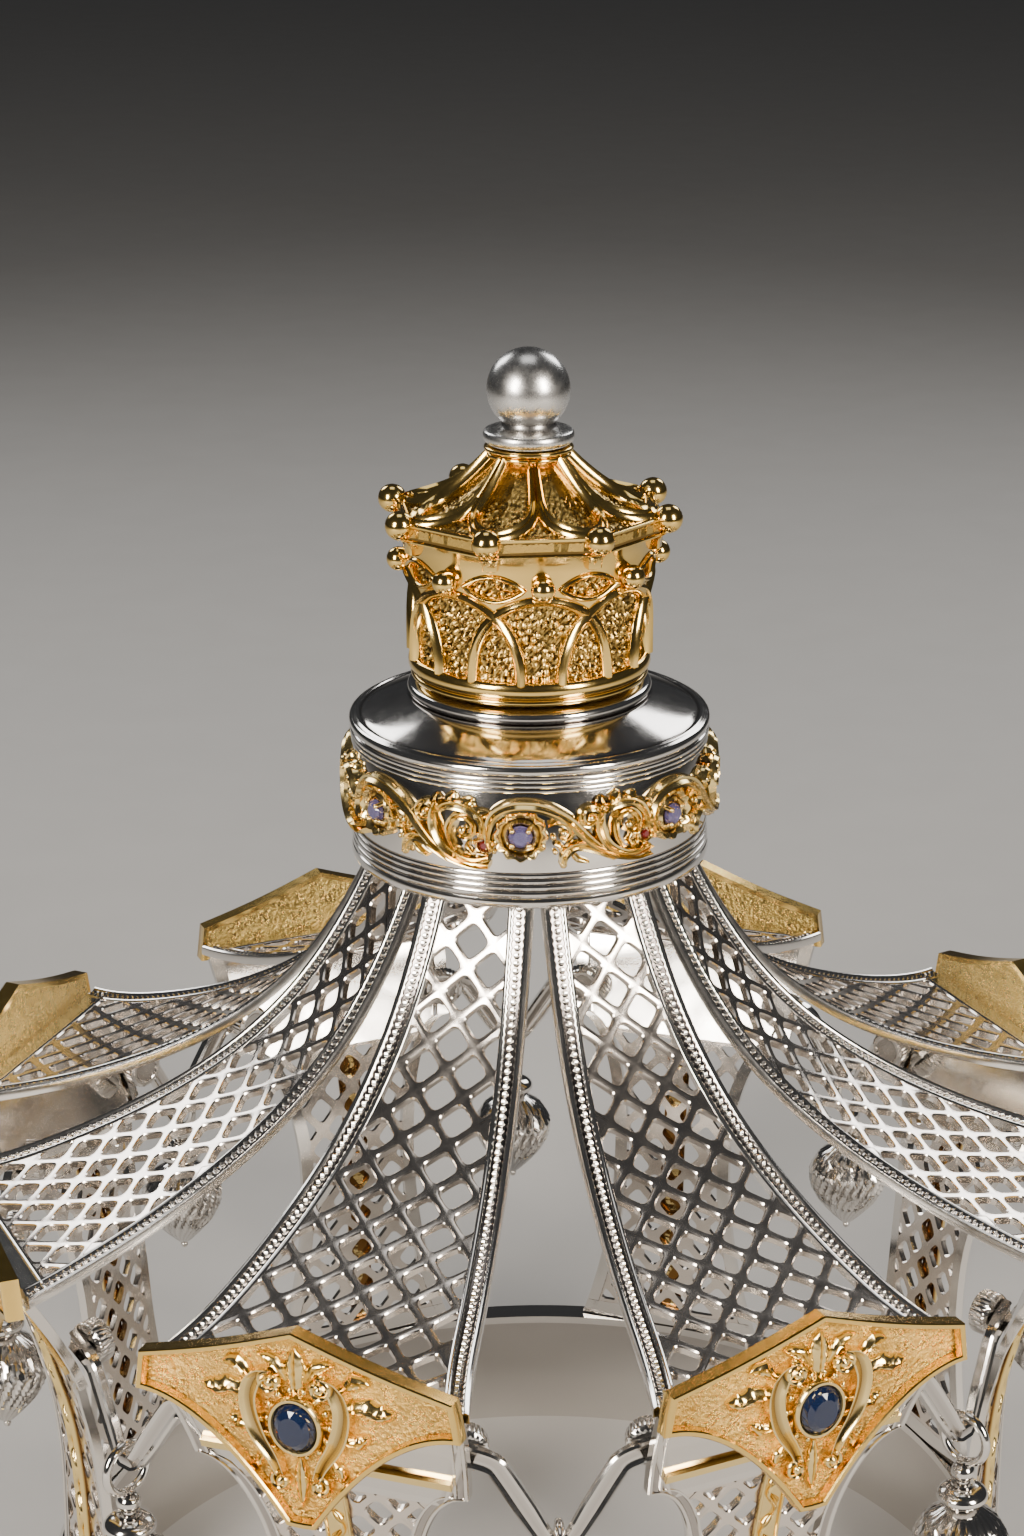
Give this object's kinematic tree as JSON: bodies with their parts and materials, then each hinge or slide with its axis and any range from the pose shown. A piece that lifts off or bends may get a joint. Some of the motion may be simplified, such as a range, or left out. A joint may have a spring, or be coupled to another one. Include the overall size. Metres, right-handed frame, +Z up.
{
  "type": "torah crown",
  "caption": "Crown with a domed hub, arcaded turret and ball finial above swept pierced arms, trapezoid jewelled plaques, hanging drops and a plain base circlet.",
  "frame": {"origin": "on the crown's axis, at the underside of the base circlet", "axes": "+Z up along the crown's axis to the ball; -Y between two arms, facing the viewer"},
  "size_m": [0.2132, 0.2132, 0.2526],
  "materials": {
    "silver": "polished silver",
    "gold": "polished and matted gilding",
    "sapphire": "faceted dark blue stone",
    "violet_stone": "faceted violet stone"
  },
  "bodies": {
    "root": {"finial": "silver", "cupola": "gold", "hub": "silver", "scroll_frieze": "gold", "hub_stone_1": "violet_stone", "hub_stone_2": "violet_stone", "hub_stone_3": "violet_stone", "hub_stone_4": "violet_stone", "hub_stone_5": "violet_stone", "hub_stone_6": "violet_stone", "hub_stone_7": "violet_stone", "upper_panel_1": "silver", "lower_arm_1": "silver", "plaque_1": "gold", "sapphire_1": "sapphire", "strut_1": "silver", "pendant_1": "silver", "upper_panel_2": "silver", "lower_arm_2": "silver", "plaque_2": "gold", "sapphire_2": "sapphire", "strut_2": "silver", "pendant_2": "silver", "upper_panel_3": "silver", "lower_arm_3": "silver", "plaque_3": "gold", "sapphire_3": "sapphire", "strut_3": "silver", "pendant_3": "silver", "upper_panel_4": "silver", "lower_arm_4": "silver", "plaque_4": "gold", "sapphire_4": "sapphire", "strut_4": "silver", "pendant_4": "silver", "upper_panel_5": "silver", "lower_arm_5": "silver", "plaque_5": "gold", "sapphire_5": "sapphire", "strut_5": "silver", "pendant_5": "silver", "upper_panel_6": "silver", "lower_arm_6": "silver", "plaque_6": "gold", "sapphire_6": "sapphire", "strut_6": "silver", "pendant_6": "silver", "upper_panel_7": "silver", "lower_arm_7": "silver", "plaque_7": "gold", "sapphire_7": "sapphire", "strut_7": "silver", "pendant_7": "silver", "upper_panel_8": "silver", "lower_arm_8": "silver", "plaque_8": "gold", "sapphire_8": "sapphire", "strut_8": "silver", "pendant_8": "silver", "base_circlet": "silver"}
  },
  "joints": []
}
